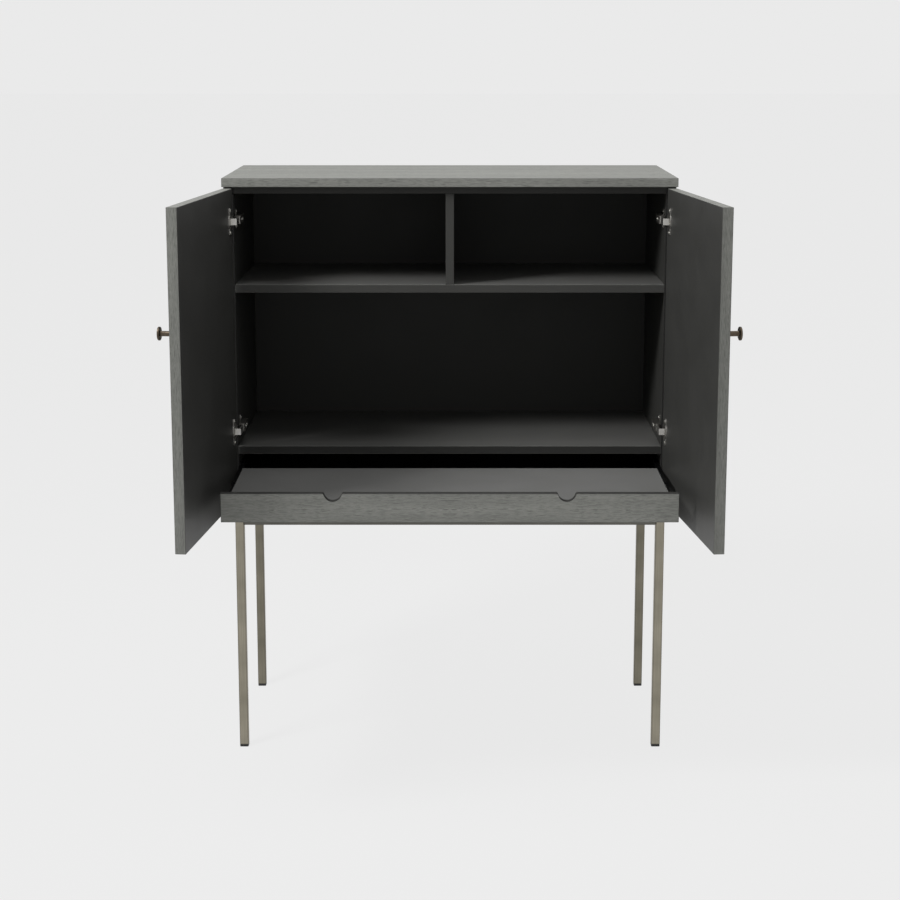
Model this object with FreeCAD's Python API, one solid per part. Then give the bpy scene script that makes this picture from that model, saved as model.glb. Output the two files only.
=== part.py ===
"""Bar cabinet on a steel leg frame, with two cup-hinged doors and a serving tray on slides.

Millimetres, +Z up, +Y towards the back, so the doors and the tray face -Y.
Every piece is drawn with the plane of the closed doors' outer faces at Y = 0.
The finished pieces are then moved so that the whole cabinet, doors open and tray out,
stands centred over the origin on Z = 0.
"""
import FreeCAD, Part
import math
import os

# ---------------------------------------------------------------- driving dimensions
# case
case_width = 1000.0             # top and bottom boards, side to side
case_depth = 464.0              # top and bottom boards, front to back
case_height = 700.0             # clear height between the top and bottom boards
top_thickness = 19.5
bottom_thickness = 22.0
side_thickness = 22.0
side_setback = 1.5              # side boards stand this far in from the ends of the top
side_rear_setback = 2.0         # and stop this far short of its back edge
inner_top_thickness = 16.0
inner_bottom_thickness = 18.0
shelf_thickness = 18.0
divider_thickness = 18.5
upper_height = 201.0            # clear height of the two upper compartments
main_height = 348.0             # clear height of the main compartment
back_thickness = 8.0
back_recess = 4.0               # back panel's face in from the side boards' back edges
back_tongue = 9.5               # how far the back panel reaches into each side's rebate
back_fit = 0.5                  # room left around the back panel
edge_round = 1.0                # eased edges of the boards
dowel_radius = 4.0
dowel_in_face = 12.0            # dowel's depth in the board that it meets flat
dowel_in_end = 20.0             # and in the end of the other board
dowel_fit = 0.05                # room around and beyond every dowel
upright_dowel_shares = (0.12, 0.5, 0.88)    # along the joint, front to back
level_dowel_shares = (0.3, 0.7)

# doors
door_thickness = 22.0
door_standoff = 2.0             # between a closed door and the front edges of the case
door_reveal = 3.0               # above and below each door
door_meeting_gap = 2.0          # between the two closed doors
door_open_angle = 96.0          # how far the doors stand open
knob_from_edge = 25.0           # knob centre in from the door's free edge
knob_below_top = 251.0          # knob centre below the door's top edge
knob_disc_radius = 13.8
knob_disc_thickness = 3.2
knob_disc_round = 1.4
knob_projection = 28.4
knob_stem_radius = 5.0
knob_base_radius = 7.0
knob_base_flare = 4.0
knob_screw_radius = 2.0
knob_screw_grip = 12.0          # length of the stud inside the knob
knob_screw_depth = 16.0         # length of the stud inside the door

# cup hinges
hinge_heights = (70.5, 537.5)   # hinge centres below the door's top edge
cup_radius = 17.5
cup_depth = 11.5
cup_wall = 1.2
cup_edge_distance = 5.0         # from the door's edge to the rim of the cup's hole
cup_flange_thickness = 1.8
cup_flange_margin = 1.5         # flange beyond the cup's hole
cup_flange_length = 61.0
cup_flange_width = 13.0
cup_screw_spacing = 48.0
cup_screw_offset = 6.0          # cup screws further from the door's edge than the cup centre
wood_screw_radius = 1.9
wood_screw_length = 13.0
wood_screw_head_radius = 3.8
wood_screw_head_height = 1.4
screw_fit = 0.05                # radial room around every screw, pin and cup
hinge_plate_setback = 37.0      # hinge plate screws behind the front edge of the side board
hinge_plate_screw_spacing = 32.0
hinge_plate_thickness = 2.0
hinge_plate_wing_length = 46.0
hinge_plate_wing_width = 11.0
hinge_plate_body_length = 44.0
hinge_plate_body_height = 11.0
hinge_plate_body_width = 6.0    # how far the body stands off the wings
hinge_arm_height = 17.6
hinge_arm_reach = 15.0          # from the side board to the outer face of the arm
hinge_arm_wall = 1.4
hinge_arm_front = 25.0          # front end of the arm behind the closed doors' outer faces
hinge_arm_length = 70.0
hinge_adjuster_spacing = 15.0   # adjusting screw in front of the clamping screw
hinge_arm_screw_radius = 2.5
hinge_arm_screw_head_radius = 4.2
hinge_arm_screw_head_height = 1.8
hinge_link_width = 14.2
hinge_link_thickness = 2.6
hinge_link_boss_radius = 3.0
hinge_pin_radius = 1.5
link_side_gap = 0.3             # between the link's tip and the cheeks inside the cup
link_end_gap = 0.3              # between the link's boss and the inside of the arm

# serving tray and its slides
tray_front_thickness = 18.0
tray_front_height = 61.0
tray_side_gap = 2.0             # tray front to each side board
tray_top_gap = 4.0              # tray front below the floor of the main compartment
tray_door_gap = 2.0             # tray front behind the front edges of the case when pushed in
tray_board_thickness = 18.0
tray_board_depth = 319.0
tray_board_drop = 20.0          # tray board's surface below the top of the tray front
notch_spacing = 485.0           # between the centres of the two finger notches
notch_radius = 19.0
notch_depth = 17.0
notch_shoulder = 5.0            # rounding where a notch meets the top edge
batten_thickness = 16.0
slide_thickness = 12.7
slide_height = 35.0
slide_back_gap = 4.0            # slides ahead of the back panel when pushed in
slide_overlap = 19.0            # what the slides keep of their length when the tray is out
slide_sheet = 1.3
slide_clearance = 0.3           # between one member of a slide and the next
slide_flange_gap = 1.6          # flanges of one member short of the next member's web
slide_setback = 2.0             # slides behind the back of the tray front
slide_screw_inset = 40.0        # first and last screw in from the ends of a member
slide_screw_length = 13.0
slide_screw_head_radius = 3.1
tray_dowel_inset = 90.0         # outermost dowels in from the ends of the tray board
tray_dowel_count = 5

# leg frame
base_height = 568.5             # from the floor to the underside of the bottom board
leg_size = 20.0
tube_wall = 1.5
rail_height = 40.0
frame_inset_side = 14.0         # legs in from the ends of the bottom board
frame_inset_front = 6.0
frame_inset_back = 5.3
foot_thickness = 6.0
foot_inset = 0.8                # foot cap inside the outline of the leg
foot_plug_length = 22.0
foot_plug_wall = 2.0
foot_plug_fit = 0.1
corner_plate_leg = 60.0
corner_plate_thickness = 3.0
corner_screw_radius = 2.4
corner_screw_length = 18.0
corner_screw_head_radius = 4.6
corner_screw_head_height = 2.2
corner_screw_share = 0.3        # screw's place along the plate's two straight edges

# ---------------------------------------------------------------- derived places
bottom_z = base_height + bottom_thickness
top_z = bottom_z + case_height
front_edge = door_thickness + door_standoff
side_outer = case_width / 2 - side_setback
side_inner = side_outer - side_thickness
side_back = case_depth - side_rear_setback
back_outer = side_back - back_recess
back_inner = back_outer - back_thickness
inner_top_z = top_z - inner_top_thickness
shelf_top_z = inner_top_z - upper_height
shelf_bottom_z = shelf_top_z - shelf_thickness
floor_top_z = shelf_bottom_z - main_height
floor_bottom_z = floor_top_z - shelf_thickness
inner_bottom_z = bottom_z + inner_bottom_thickness

door_width = side_outer - door_meeting_gap / 2
door_bottom_z = bottom_z + door_reveal
door_top_z = top_z - door_reveal
hinge_z = [door_top_z - height for height in hinge_heights]
cup_centre = cup_edge_distance + cup_radius
arm_screw_length = hinge_arm_reach - hinge_plate_thickness
knob_x = -door_meeting_gap / 2 - knob_from_edge
knob_z = door_top_z - knob_below_top
open_angle = math.radians(door_open_angle)
door_reach = door_width * math.sin(open_angle) - door_thickness * math.cos(open_angle)

tray_front_closed_y = front_edge + tray_door_gap
slide_front = tray_front_closed_y + tray_front_thickness + slide_setback
slide_length = back_inner - slide_back_gap - slide_front
tray_pull = slide_length - slide_overlap
tray_front_y = tray_front_closed_y - tray_pull
tray_front_back_y = tray_front_y + tray_front_thickness
tray_top_z = floor_bottom_z - tray_top_gap
tray_bottom_z = tray_top_z - tray_front_height
tray_board_z = tray_top_z - tray_board_drop
tray_half = side_inner - tray_side_gap
tray_board_half = side_inner - slide_thickness
slide_middle_z = (tray_board_z + tray_bottom_z) / 2
batten_middle_z = (tray_bottom_z + tray_board_z - tray_board_thickness) / 2

leg_outer_x = case_width / 2 - frame_inset_side
leg_inner_x = leg_outer_x - leg_size
leg_front_y = frame_inset_front
leg_back_y = case_depth - frame_inset_back

centring_shift = (door_reach - case_depth) / 2

UP = FreeCAD.Vector(0, 0, 1)
ACROSS = FreeCAD.Vector(1, 0, 0)
BACKWARDS = FreeCAD.Vector(0, 1, 0)
parts = {}


# ---------------------------------------------------------------- small shape tools
def block(x, y, z):
    """A box between the given (low, high) pairs."""
    corner = FreeCAD.Vector(x[0], y[0], z[0])
    return Part.makeBox(x[1] - x[0], y[1] - y[0], z[1] - z[0], corner)


def eased(solid):
    """The same solid with every edge lightly rounded."""
    return solid.makeFillet(edge_round, solid.Edges)


def rod(radius, length, start, direction):
    return Part.makeCylinder(radius, length, start, direction)


def prism(points, depth):
    """A closed outline of (x, y, z) points, extruded by the vector depth."""
    corners = [FreeCAD.Vector(*point) for point in points]
    outline = Part.makePolygon(corners + corners[:1])
    return Part.Face(outline).extrude(depth)


def square_tube(x, y, z, hollow_axis):
    """A tube of rectangular section, open at both ends along hollow_axis."""
    spans = {"x": x, "y": y, "z": z}
    inner = {axis: span if axis == hollow_axis else (span[0] + tube_wall, span[1] - tube_wall)
             for axis, span in spans.items()}
    return block(x, y, z).cut(block(inner["x"], inner["y"], inner["z"]))


def screw(start, direction, shank, head):
    """A screw from under its head at start: shank and head are (radius, length)."""
    driven = FreeCAD.Vector(direction).normalize()
    body = rod(shank[0], shank[1], start, driven)
    cap = rod(head[0], head[1], start - driven * head[1], driven)
    outer_rim = [edge for edge in cap.Edges
                 if edge.Closed and (edge.CenterOfMass - start).Length > head[1] / 2]
    return body.fuse(cap.makeFillet(head[1] / 2, outer_rim)).removeSplitter()


def mirrored(solid):
    """The matching piece on the other side of the cabinet."""
    return solid.mirror(FreeCAD.Vector(0, 0, 0), ACROSS)


def both_sides(name, left_piece):
    parts[name + "_left"] = left_piece
    parts[name + "_right"] = mirrored(left_piece)


def left_and_right(pieces):
    """One node's worth of identical pieces, repeated on both sides."""
    return Part.makeCompound(pieces + [mirrored(piece) for piece in pieces])


def door_opened(piece):
    """A piece of the left door, turned from closed to where the door stands open."""
    turned = piece.copy()
    turned.rotate(FreeCAD.Vector(-side_outer, 0, 0), UP, -door_open_angle)
    return turned


# ---------------------------------------------------------------- case
def hinge_plate_screw_points():
    return [FreeCAD.Vector(-side_inner + hinge_plate_thickness,
                           front_edge + hinge_plate_setback,
                           z + offset)
            for z in hinge_z
            for offset in (-hinge_plate_screw_spacing / 2, hinge_plate_screw_spacing / 2)]


def corner_screw_points():
    inset = corner_plate_leg * corner_screw_share
    low = base_height - corner_plate_thickness
    front = leg_front_y + leg_size + inset
    back = leg_back_y - leg_size - inset
    return [FreeCAD.Vector(-leg_inner_x + inset, y, low) for y in (front, back)]


def spread(low, high, shares):
    """Places at the given shares of the way from low to high."""
    return [low + (high - low) * share for share in shares]


def case_dowel_places():
    """(start, direction) of every dowel in the left half of the case, face depth first.

    A dowel starts dowel_in_face below the face that it meets and ends dowel_in_end inside
    the other board's end.
    """
    places = []
    side_middle = -(side_outer + side_inner) / 2
    for y in spread(front_edge, back_inner, upright_dowel_shares):
        places.append((FreeCAD.Vector(side_middle, y, top_z + dowel_in_face), -UP))
        places.append((FreeCAD.Vector(side_middle, y, bottom_z - dowel_in_face), UP))
    for y in spread(front_edge, back_inner, level_dowel_shares):
        for low_z, high_z in ((inner_top_z, top_z), (shelf_bottom_z, shelf_top_z),
                              (floor_bottom_z, floor_top_z), (bottom_z, inner_bottom_z)):
            places.append((FreeCAD.Vector(-side_inner - dowel_in_face, y, (low_z + high_z) / 2),
                           ACROSS))
    return places


def divider_dowel_places():
    places = []
    for y in spread(front_edge, back_inner, level_dowel_shares):
        places.append((FreeCAD.Vector(0, y, shelf_top_z - dowel_in_face), UP))
        places.append((FreeCAD.Vector(0, y, inner_top_z + dowel_in_face), -UP))
    return places


def dowels(places):
    return [rod(dowel_radius, dowel_in_face + dowel_in_end, start, direction)
            for start, direction in places]


def bored(board, places):
    """The board with a hole for each dowel that reaches into it."""
    return board.cut([rod(dowel_radius + dowel_fit, dowel_in_face + dowel_in_end + 2 * dowel_fit,
                          start - direction * dowel_fit, direction)
                      for start, direction in places])


def both_halves(places):
    """The places in the left half of the case and their mirror images."""
    return places + [(FreeCAD.Vector(-start.x, start.y, start.z),
                      FreeCAD.Vector(-direction.x, direction.y, direction.z))
                     for start, direction in places]


def end_board():
    """Left side board, rebated along its back edge and bored for dowels and screws."""
    board = eased(block((-side_outer, -side_inner), (front_edge, side_back), (bottom_z, top_z)))
    rebate = block((-side_inner - back_tongue - back_fit, -side_inner + edge_round),
                   (back_inner, side_back + edge_round),
                   (bottom_z - edge_round, top_z + edge_round))
    board = board.cut(rebate)
    for point in hinge_plate_screw_points():
        board = board.cut(rod(wood_screw_radius + screw_fit, wood_screw_length, point, -ACROSS))
    for point in slide_outer_screw_points():
        board = board.cut(sunk_screw(point, -ACROSS, screw_fit))
    return bored(board, case_dowel_places())


def bottom_board():
    """Full-size board under the case, with blind holes for the leg frame's screws."""
    board = eased(block((-case_width / 2, case_width / 2), (0, case_depth),
                        (base_height, bottom_z)))
    for point in corner_screw_points():
        for place in (point, FreeCAD.Vector(-point.x, point.y, point.z)):
            board = board.cut(rod(corner_screw_radius + screw_fit, corner_screw_length, place, UP))
    return bored(board, both_halves(case_dowel_places()))


def inner_board(low_z, high_z):
    """A board that fits between the side boards and stops at the back panel."""
    board = eased(block((-side_inner, side_inner), (front_edge, back_inner), (low_z, high_z)))
    return bored(board, both_halves(case_dowel_places()) + divider_dowel_places())


def build_case():
    top = eased(block((-case_width / 2, case_width / 2), (0, case_depth),
                      (top_z, top_z + top_thickness)))
    parts["top_board"] = bored(top, both_halves(case_dowel_places()))
    parts["bottom_board"] = bottom_board()
    both_sides("side_board", end_board())
    parts["inner_top"] = inner_board(inner_top_z, top_z)
    parts["shelf"] = inner_board(shelf_bottom_z, shelf_top_z)
    parts["compartment_floor"] = inner_board(floor_bottom_z, floor_top_z)
    parts["inner_bottom"] = inner_board(bottom_z, inner_bottom_z)
    divider = eased(block((-divider_thickness / 2, divider_thickness / 2),
                          (front_edge, back_inner), (shelf_top_z, inner_top_z)))
    parts["divider"] = bored(divider, divider_dowel_places())
    parts["case_dowels"] = Part.makeCompound(
        dowels(both_halves(case_dowel_places()) + divider_dowel_places()))
    parts["back_panel"] = block((-side_inner - back_tongue, side_inner + back_tongue),
                                (back_inner, back_outer), (bottom_z, top_z - back_fit))


# ---------------------------------------------------------------- doors and knobs
def door_panel():
    """Left door, closed, bored for its hinge cups, their screws and the knob's stud."""
    panel = eased(block((-side_outer, -side_outer + door_width), (0, door_thickness),
                        (door_bottom_z, door_top_z)))
    for z in hinge_z:
        mouth = FreeCAD.Vector(-side_outer + cup_centre, door_thickness, z)
        panel = panel.cut(rod(cup_radius + screw_fit, cup_depth + screw_fit, mouth, -BACKWARDS))
    for point in cup_screw_points():
        hole = rod(wood_screw_radius + screw_fit, wood_screw_length, point, -BACKWARDS)
        panel = panel.cut(hole)
    hole = rod(knob_screw_radius + screw_fit, knob_screw_depth + screw_fit,
               FreeCAD.Vector(knob_x, 0, knob_z), BACKWARDS)
    return panel.cut(hole)


def knob():
    """Turned knob on the closed left door: a flared foot, a stem and a thick round disc."""
    disc_start = knob_projection - knob_disc_thickness
    foot_middle = FreeCAD.Vector((knob_stem_radius + knob_base_radius) / 2 - knob_base_flare / 12,
                                 0, knob_base_flare / 2)

    def at(radius, height):
        return FreeCAD.Vector(radius, 0, height)

    round_low = at(knob_disc_radius - knob_disc_round * (1 - math.sqrt(0.5)),
                   disc_start + knob_disc_round * (1 - math.sqrt(0.5)))
    round_high = at(round_low.x, knob_projection - knob_disc_round * (1 - math.sqrt(0.5)))
    edges = [
        Part.LineSegment(at(0, 0), at(knob_base_radius, 0)),
        Part.Arc(at(knob_base_radius, 0), foot_middle, at(knob_stem_radius, knob_base_flare)),
        Part.LineSegment(at(knob_stem_radius, knob_base_flare), at(knob_stem_radius, disc_start)),
        Part.LineSegment(at(knob_stem_radius, disc_start),
                         at(knob_disc_radius - knob_disc_round, disc_start)),
        Part.Arc(at(knob_disc_radius - knob_disc_round, disc_start), round_low,
                 at(knob_disc_radius, disc_start + knob_disc_round)),
        Part.LineSegment(at(knob_disc_radius, disc_start + knob_disc_round),
                         at(knob_disc_radius, knob_projection - knob_disc_round)),
        Part.Arc(at(knob_disc_radius, knob_projection - knob_disc_round), round_high,
                 at(knob_disc_radius - knob_disc_round, knob_projection)),
        Part.LineSegment(at(knob_disc_radius - knob_disc_round, knob_projection),
                         at(0, knob_projection)),
        Part.LineSegment(at(0, knob_projection), at(0, 0)),
    ]
    profile = Part.Face(Part.Wire([edge.toShape() for edge in edges]))
    turned = profile.revolve(FreeCAD.Vector(0, 0, 0), UP, 360)
    turned.rotate(FreeCAD.Vector(0, 0, 0), ACROSS, 90)
    turned.translate(FreeCAD.Vector(knob_x, 0, knob_z))
    thread = rod(knob_screw_radius + screw_fit, knob_screw_grip + screw_fit,
                 FreeCAD.Vector(knob_x, 0, knob_z), -BACKWARDS)
    return turned.cut(thread)


def knob_screw():
    """Headless stud, screwed into the door from its outer face; the knob turns on to it."""
    start = FreeCAD.Vector(knob_x, knob_screw_depth, knob_z)
    return rod(knob_screw_radius, knob_screw_depth + knob_screw_grip, start, -BACKWARDS)


def build_doors():
    both_sides("door", door_opened(door_panel()))
    both_sides("knob", door_opened(knob()))
    both_sides("knob_screw", door_opened(knob_screw()))
    both_sides("hinge_cups", door_opened(Part.makeCompound([hinge_cup(z) for z in hinge_z])))
    screws = [screw(point, -BACKWARDS, (wood_screw_radius, wood_screw_length - screw_fit),
                    (wood_screw_head_radius, wood_screw_head_height))
              for point in cup_screw_points()]
    both_sides("cup_screws", door_opened(Part.makeCompound(screws)))


# ---------------------------------------------------------------- cup hinges
def cup_screw_points():
    return [FreeCAD.Vector(-side_outer + cup_centre + cup_screw_offset,
                           door_thickness + cup_flange_thickness, z + offset)
            for z in hinge_z
            for offset in (-cup_screw_spacing / 2, cup_screw_spacing / 2)]


def hinge_cup(z):
    """Cup with its flange, seated in the closed left door; two cheeks guide the link's tip."""
    mouth = FreeCAD.Vector(-side_outer + cup_centre, door_thickness, z)
    rim = FreeCAD.Vector(mouth.x, door_thickness + cup_flange_thickness, z)
    flange_disc = rod(cup_radius + cup_flange_margin, cup_flange_thickness, mouth, BACKWARDS)
    half_length = cup_flange_length / 2
    half_width = cup_flange_width / 2
    bar_x = mouth.x + cup_screw_offset
    bar = block((bar_x - half_width, bar_x + half_width), (mouth.y, rim.y),
                (z - half_length + half_width, z + half_length - half_width))
    for end_z in (z - half_length + half_width, z + half_length - half_width):
        bar = bar.fuse(rod(half_width, cup_flange_thickness,
                           FreeCAD.Vector(bar_x, mouth.y, end_z), BACKWARDS))
    cup = rod(cup_radius, cup_depth, mouth, -BACKWARDS).fuse([flange_disc, bar])
    hollow = rod(cup_radius - cup_wall, cup_flange_thickness + cup_depth - cup_wall, rim,
                 -BACKWARDS)
    between_cheeks = block((mouth.x - cup_radius, mouth.x + cup_radius), (0, rim.y),
                           (z - hinge_link_width / 2 - link_side_gap,
                            z + hinge_link_width / 2 + link_side_gap))
    cup = cup.cut(hollow.common(between_cheeks))
    for point in cup_screw_points():
        if abs(point.z - z) < cup_flange_length:
            cup = cup.cut(rod(wood_screw_radius + screw_fit, cup_flange_thickness, point,
                              -BACKWARDS))
    return cup.removeSplitter()


def hinge_plate(z):
    """Winged plate on the side board, with a raised body that carries the arm."""
    middle_y = front_edge + hinge_plate_setback
    wing_x = (-side_inner, -side_inner + hinge_plate_thickness)
    wings = block(wing_x,
                  (middle_y - hinge_plate_wing_width / 2, middle_y + hinge_plate_wing_width / 2),
                  (z - hinge_plate_wing_length / 2, z + hinge_plate_wing_length / 2))
    wings = wings.makeFillet(hinge_plate_wing_width / 2 - edge_round,
                             [edge for edge in wings.Edges
                              if abs(edge.Length - hinge_plate_thickness) < screw_fit])
    body = block((wing_x[0], wing_x[1] + hinge_plate_body_width),
                 (middle_y - hinge_plate_body_length / 2, middle_y + hinge_plate_body_length / 2),
                 (z - hinge_plate_body_height / 2, z + hinge_plate_body_height / 2))
    plate = wings.fuse(body)
    for point in hinge_plate_screw_points():
        if abs(point.z - z) < hinge_plate_wing_length:
            plate = plate.cut(rod(wood_screw_radius + screw_fit, hinge_plate_thickness, point,
                                  -ACROSS))
    for seat in arm_screw_seats(z):
        plate = plate.cut(rod(hinge_arm_screw_radius + screw_fit, arm_screw_length, seat, -ACROSS))
    return plate.removeSplitter()


def arm_screw_seats(z):
    """Where the two screws of an arm start: the clamping screw, and the adjuster ahead of it."""
    clamp_y = front_edge + hinge_plate_setback
    return [FreeCAD.Vector(-side_inner + hinge_arm_reach, y, z)
            for y in (clamp_y, clamp_y - hinge_adjuster_spacing)]


def arm_pin_place(z):
    """Centre of the pin that joins the arm to its link."""
    inset = hinge_link_boss_radius + link_end_gap
    return FreeCAD.Vector(-side_inner + hinge_arm_reach - hinge_arm_wall - inset,
                          hinge_arm_front + inset, z)


def hinge_arm(z):
    """Channel-shaped arm over the plate's body, open towards the side board."""
    x_inner = -side_inner + hinge_plate_thickness + screw_fit
    x_outer = -side_inner + hinge_arm_reach
    back = hinge_arm_front + hinge_arm_length
    half = hinge_arm_height / 2
    arm = block((x_inner, x_outer), (hinge_arm_front, back), (z - half, z + half))
    front_corners = [edge for edge in arm.Edges
                     if abs(edge.Length - hinge_arm_height) < screw_fit
                     and edge.CenterOfMass.x > (x_inner + x_outer) / 2]
    arm = arm.makeFillet(hinge_link_boss_radius, front_corners)
    channel = block((x_inner - edge_round, x_outer - hinge_arm_wall),
                    (hinge_arm_front - edge_round, back + edge_round),
                    (z - half + hinge_arm_wall, z + half - hinge_arm_wall))
    pin = arm_pin_place(z)
    pin_hole = rod(hinge_pin_radius + screw_fit, hinge_arm_height + edge_round,
                   pin - UP * (half + edge_round / 2), UP)
    screw_holes = [rod(hinge_arm_screw_radius + screw_fit, arm_screw_length, seat, -ACROSS)
                   for seat in arm_screw_seats(z)]
    return arm.cut([channel, pin_hole] + screw_holes)


def link_path(z):
    """Middle line of a link: forward out of the arm past the door's edge, then square across
    into the cup."""
    pin = arm_pin_place(z)
    closed_tip = FreeCAD.Vector(cup_centre, hinge_link_depth_in_cup(), 0)
    tip = FreeCAD.Vector(
        -side_outer + closed_tip.x * math.cos(open_angle) + closed_tip.y * math.sin(open_angle),
        -closed_tip.x * math.sin(open_angle) + closed_tip.y * math.cos(open_angle), z)
    bend = FreeCAD.Vector(pin.x, tip.y, z)
    return pin, bend, tip


def hinge_link_depth_in_cup():
    """How deep the link's tip sits, as a distance from the door's outer face."""
    cup_floor = door_thickness - cup_depth + cup_wall
    return cup_floor + hinge_link_boss_radius + cup_wall + hinge_link_thickness / 2


def hinge_link(z):
    """Bent link from the arm's pin to the open mouth of the cup."""
    pin, bend, tip = link_path(z)
    low = UP * (hinge_link_width / 2)
    link = rod(hinge_link_boss_radius, hinge_link_width, pin - low, UP)
    link = link.fuse(rod(hinge_link_boss_radius, hinge_link_width, tip - low, UP))
    link = link.fuse(rod(hinge_link_thickness / 2, hinge_link_width, bend - low, UP))
    for start, end in ((pin, bend), (bend, tip)):
        along = (end - start).normalize()
        aside = UP.cross(along) * (hinge_link_thickness / 2)
        corners = [start + aside, end + aside, end - aside, start - aside]
        link = link.fuse(prism([point - low for point in corners], UP * hinge_link_width))
    bore = rod(hinge_pin_radius + screw_fit, hinge_link_width, pin - low, UP)
    return link.removeSplitter().cut(bore)


def build_hinges():
    parts["hinge_plates"] = left_and_right([hinge_plate(z) for z in hinge_z])
    parts["hinge_arms"] = left_and_right([hinge_arm(z) for z in hinge_z])
    parts["hinge_links"] = left_and_right([hinge_link(z) for z in hinge_z])
    half = hinge_arm_height / 2
    parts["hinge_pins"] = left_and_right(
        [rod(hinge_pin_radius, hinge_arm_height, arm_pin_place(z) - UP * half, UP)
         for z in hinge_z])
    parts["hinge_plate_screws"] = left_and_right(
        [screw(point, -ACROSS, (wood_screw_radius, wood_screw_length - screw_fit),
               (wood_screw_head_radius, wood_screw_head_height))
         for point in hinge_plate_screw_points()])
    parts["hinge_arm_screws"] = left_and_right(
        [screw(seat, -ACROSS, (hinge_arm_screw_radius, arm_screw_length - screw_fit),
               (hinge_arm_screw_head_radius, hinge_arm_screw_head_height))
         for z in hinge_z for seat in arm_screw_seats(z)])


# ---------------------------------------------------------------- serving tray
def notch_cutter(x):
    """Round finger notch in the top edge of the tray front, eased where it meets the edge."""
    centre_z = tray_top_z - notch_depth + notch_radius
    reach = notch_radius + notch_shoulder
    drop = centre_z - (tray_top_z - notch_shoulder)
    half_mouth = math.sqrt(reach ** 2 - drop ** 2)
    touch = notch_radius / reach

    def at(dx, z):
        return FreeCAD.Vector(x + dx, tray_front_y - edge_round, z)

    def arc_from_centre(cx, cz, radius, degrees):
        angle = math.radians(degrees)
        return at(cx + radius * math.cos(angle), cz + radius * math.sin(angle))

    shoulder_z = tray_top_z - notch_shoulder
    right_touch = at(half_mouth * touch, centre_z + (shoulder_z - centre_z) * touch)
    left_touch = at(-half_mouth * touch, centre_z + (shoulder_z - centre_z) * touch)
    touch_degrees = math.degrees(math.atan2(centre_z - shoulder_z, -half_mouth))
    middle = (90 + touch_degrees) / 2
    right_middle = arc_from_centre(half_mouth, shoulder_z, notch_shoulder, middle)
    left_middle = arc_from_centre(-half_mouth, shoulder_z, notch_shoulder, 180 - middle)
    above = tray_top_z + notch_shoulder
    edges = [
        Part.Arc(left_touch, at(0, centre_z - notch_radius), right_touch),
        Part.Arc(right_touch, right_middle, at(half_mouth, tray_top_z)),
        Part.LineSegment(at(half_mouth, tray_top_z), at(half_mouth, above)),
        Part.LineSegment(at(half_mouth, above), at(-half_mouth, above)),
        Part.LineSegment(at(-half_mouth, above), at(-half_mouth, tray_top_z)),
        Part.Arc(at(-half_mouth, tray_top_z), left_middle, left_touch),
    ]
    outline = Part.Wire([edge.toShape() for edge in edges])
    return Part.Face(outline).extrude(BACKWARDS * (tray_front_thickness + 2 * edge_round))


def slide_member(level, front_y, opens_inwards):
    """One channel of the left slide: level 0 fits round level 1, which fits round level 2."""
    step = level * (slide_sheet + slide_clearance)
    half = slide_height / 2 - step
    wall_x = -side_inner
    tray_x = -tray_board_half
    if opens_inwards:
        web = wall_x + step
        flange_end = tray_x - slide_flange_gap
        web_inner = web + slide_sheet
    else:
        web = tray_x
        flange_end = wall_x + step + slide_flange_gap
        web_inner = web - slide_sheet
    low, high = slide_middle_z - half, slide_middle_z + half
    outline = [(web, front_y, low), (flange_end, front_y, low),
               (flange_end, front_y, low + slide_sheet), (web_inner, front_y, low + slide_sheet),
               (web_inner, front_y, high - slide_sheet), (flange_end, front_y, high - slide_sheet),
               (flange_end, front_y, high), (web, front_y, high)]
    return prism(outline, BACKWARDS * slide_length)


def slide_screw_ys(front_y):
    """The three screws along a slide member that starts at front_y."""
    return (front_y + slide_screw_inset, front_y + slide_length / 2,
            front_y + slide_length - slide_screw_inset)


def slide_outer_screw_points():
    return [FreeCAD.Vector(-side_inner + slide_sheet, y, slide_middle_z)
            for y in slide_screw_ys(slide_front)]


def slide_inner_screw_points():
    """Screws of the inner member, as far as the batten beside it reaches."""
    batten_back = tray_front_back_y + tray_board_depth
    return [FreeCAD.Vector(-tray_board_half - slide_sheet, y, batten_middle_z)
            for y in slide_screw_ys(slide_front - tray_pull)
            if y < batten_back - slide_screw_head_radius]


def sunk_screw(start, direction, growth=0.0):
    """A countersunk screw, flush with the sheet that it holds; growth widens it into a hole."""
    head = Part.makeCone(slide_screw_head_radius + growth, wood_screw_radius + growth,
                         slide_sheet, start, direction)
    return head.fuse(rod(wood_screw_radius + growth, slide_screw_length + growth, start, direction))


def tray_dowel_places():
    """(start, direction) of the dowels that hold the tray board to the tray front."""
    reach = tray_board_half - tray_dowel_inset
    step = 2 * reach / (tray_dowel_count - 1)
    middle_z = tray_board_z - tray_board_thickness / 2
    return [(FreeCAD.Vector(-reach + step * index, tray_front_back_y - dowel_in_face, middle_z),
             BACKWARDS) for index in range(tray_dowel_count)]


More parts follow.
